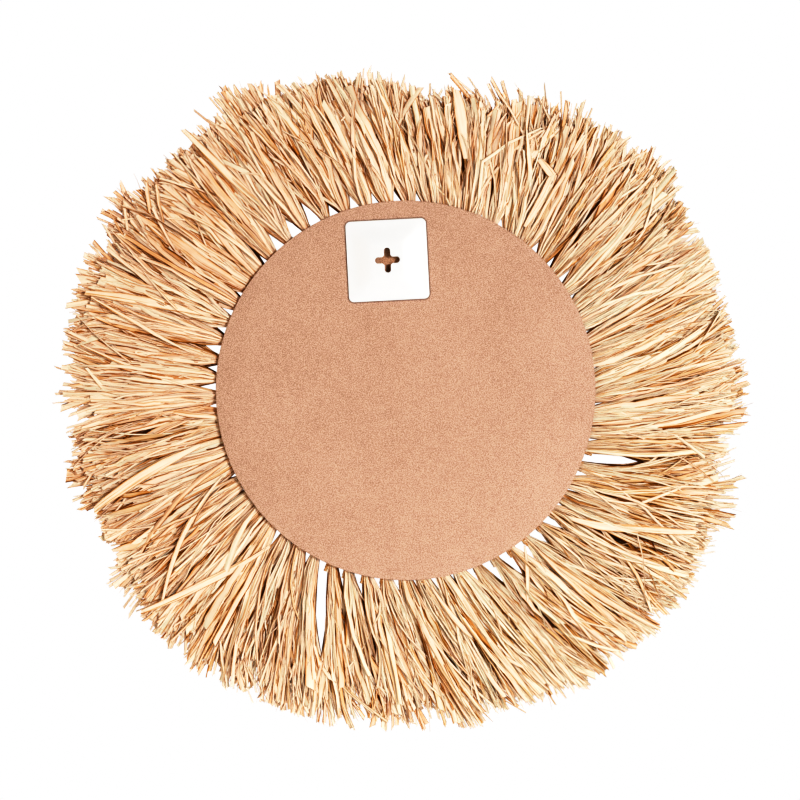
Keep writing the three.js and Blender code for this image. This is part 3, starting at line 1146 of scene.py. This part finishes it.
def addBars(tassel):
    rng, root, ring = tassel.rng, tassel.root, tassel.ring
    count = knot["bars"]
    turn = np.radians(np.linspace(*knot["barTurn"], knot["barSteps"]))[None, :].repeat(count, axis=0)
    outward = knot["barAt"] + knot["barStep"] * np.arange(count)[:, None]
    outward = outward + rng.normal(0, 0.2, turn.shape) * mm
    depth = wireDepth + knot["barDepth"] * np.sin(turn)
    centre = place(root + knot["barAcross"] * np.cos(turn) / ring, ring + outward, depth)
    facing = awayFrom(centre, place(root, ring + outward, wireDepth))
    half = np.full(turn.shape, knot["barWidth"] / 2)
    tone = np.clip(rng.normal(*knot["barTone"], (count, 1)), 0.1, 0.95)
    bow = np.full((count, 1), knot["barBow"])
    still = np.zeros(turn.shape)
    addRibbons(tassel.bundle, narrowSection, centre, still, half, bow, still[:, :1], tone, tone, facing)


def fillTassel(bundle, index):
    tassel = Tassel(index, bundle)
    for kind in (strips, ribbons, loose, ends, hairs):
        tassel.addStrands(kind)
    for stops, width in standouts["paths"]:
        if tassel.claim(stops[0][0]):
            addStandout(tassel, stops, width)
    addLoops(tassel)
    addBars(tassel)


def makeFringe():
    finish = raffiaFinish()
    index = triangles = 0
    while index < fringe["tassels"]:
        label = f"_{index + 1:02d}"
        bundle = Bundle()
        fillTassel(bundle, index)
        if any(apart(borderAngle(index), at) < halfPitch for at in fringe["doublesAt"]):
            label = f"s{label}_{index + 2:02d}"
            index += 1
            fillTassel(bundle, index)
        piece = bundle.piece("raffia" + label, "tassel" + label, finish)
        triangles += sum(len(face.vertices) - 2 for face in piece.data.polygons)
        index += 1
    print("fringe done,", triangles, "triangles")


makeFringe()

# camera square on to the back, rolled so that the plate sits a little left of the top
view = {
    "distance": 3.0,
    "lens": 150.0,
    "frameWidth": 695.1 * mm,
    "roll": 7.96,
    "aimRight": -4.87 * mm,
    "aimUp": -8.34 * mm,
}


def makeCamera():
    data = bpy.data.cameras.new("camera")
    camera = bpy.data.objects.new("camera", data)
    bpy.context.scene.collection.objects.link(camera)
    turn = math.radians(view["roll"])
    right = Vector((-math.cos(turn), 0, -math.sin(turn)))
    up = Vector((-math.sin(turn), 0, math.cos(turn)))
    back = Vector((0, 1, 0))
    target = Vector((centreX, boardHigh.y, centreZ)) + right * view["aimRight"] + up * view["aimUp"]
    axes = Matrix((right, up, back)).transposed()
    camera.matrix_world = Matrix.Translation(target + back * view["distance"]) @ axes.to_4x4()
    data.lens = view["lens"]
    data.sensor_width = data.lens * view["frameWidth"] / view["distance"]
    data.clip_end = 50
    bpy.context.scene.camera = camera


makeCamera()
print("camera done")

# plain pale floor below the hung mirror, out of the main view
floor = {
    "drop": 0.26,
    "size": 1.5,
    "colour": (0.92, 0.91, 0.89),
    "cloud": (0.86, 0.85, 0.83),
}


def makeFloor():
    level = cadBox[0][2] - floor["drop"]
    half = floor["size"] / 2
    mesh = bpy.data.meshes.new("floor")
    corners = [(-half, -half, level), (half, -half, level), (half, half, level), (-half, half, level)]
    mesh.from_pydata(corners, [], [(0, 1, 2, 3)])
    piece = bpy.data.objects.new("floor", mesh)
    bpy.context.scene.collection.objects.link(piece)
    finish = Finish("studio_floor", Roughness=0.9)
    cloud = finish.noise(finish.objectPoint(), 6.0)
    finish.set("Base Color", finish.mix(cloud * 0.3, floor["colour"], floor["cloud"]))
    paint(piece, finish)


makeFloor()
print("floor done")

# soft studio light: a key and a warm fill behind the mirror, where the camera is, and a weak one low down,
# one in front for the glass, a pair at the sides, and a white surround that only the camera sees
studio = {
    "lights": [  # power, size, place seen from the mirror's middle, colour
        ("key", 244.0, 1.0, (-3.0, 4.7, 0.3), (1, 1, 1)),
        ("fill", 50.0, 1.6, (2.6, 4.2, 0.6), (1.0, 0.8, 0.55)),
        ("low", 10.0, 0.8, (-0.6, 2.0, -0.5), (1, 1, 1)),
        ("front", 75.0, 1.6, (1.2, -2.4, 0.9), (1, 1, 1)),
        ("side", 26.0, 1.2, (-2.2, -0.35, 1.0), (1, 1, 1)),
        ("side", 26.0, 1.2, (2.2, -0.35, 1.0), (1, 1, 1)),
    ],
    "behind": (0.2, 0.122, 0.045),  # light of the room on the photographed side and on the glass's side
    "ahead": (0.4, 0.33, 0.23),
    "aheadFrom": -0.1,
    "aheadFade": 2.0,
    "mirroredLow": (0.5, 0.51, 0.52),  # what the glass reflects
    "mirroredHigh": (0.95, 0.96, 0.97),
    "horizon": 0.45,
    "horizonFade": 0.8,
    "contrast": [(0.09, 0.026), (0.24, 0.136), (0.385, 0.306), (0.55, 0.54), (0.69, 0.735)],
}


def addArea(name, power, size, start, colour):
    data = bpy.data.lights.new(name, "AREA")
    data.size = size
    data.energy = power
    data.color = colour
    light = bpy.data.objects.new(name, data)
    bpy.context.scene.collection.objects.link(light)
    target = Vector((centreX, wireDepth, centreZ))
    light.location = target + Vector(start)
    light.rotation_euler = (target - light.location).to_track_quat("-Z", "Y").to_euler()


def makeStudio():
    for light in studio["lights"]:
        addArea(*light)
    world = bpy.data.worlds.new("studio")
    bpy.context.scene.world = world
    world.use_nodes = True
    sky = Nodes(world.node_tree)
    way = sky.node("SeparateXYZ", {}, {0: sky.value(sky.node("TexCoord"), "Generated")})
    ahead = studio["aheadFrom"] - sky.value(way, "Y") * studio["aheadFade"]
    above = studio["horizon"] + sky.value(way, "Z") * studio["horizonFade"]
    soft = sky.node("Background", {}, {"Color": sky.mix(ahead, studio["behind"], studio["ahead"])})
    room = sky.mix(above, studio["mirroredLow"], studio["mirroredHigh"])
    mirrored = sky.node("Background", {}, {"Color": sky.mix(ahead, studio["behind"], room)})
    white = sky.node("Background", {}, {"Color": (1, 1, 1)})
    path = sky.node("LightPath")
    glossy, camera = sky.value(path, "Is Glossy Ray"), sky.value(path, "Is Camera Ray")
    lit = sky.node("MixShader", {}, {0: glossy, 1: sky.value(soft), 2: sky.value(mirrored)})
    seen = sky.node("MixShader", {}, {0: camera, 1: sky.value(lit), 2: sky.value(white)})
    sky.feed(sky.tree.nodes["World Output"].inputs["Surface"], sky.value(seen))
    settings = bpy.context.scene.view_settings
    settings.view_transform = "Standard"
    settings.look = "None"
    settings.use_curve_mapping = True
    contrast = settings.curve_mapping.curves[3]
    for level, shown in studio["contrast"]:
        contrast.points.new(level, shown)
    settings.curve_mapping.update()


makeStudio()
print("studio done")
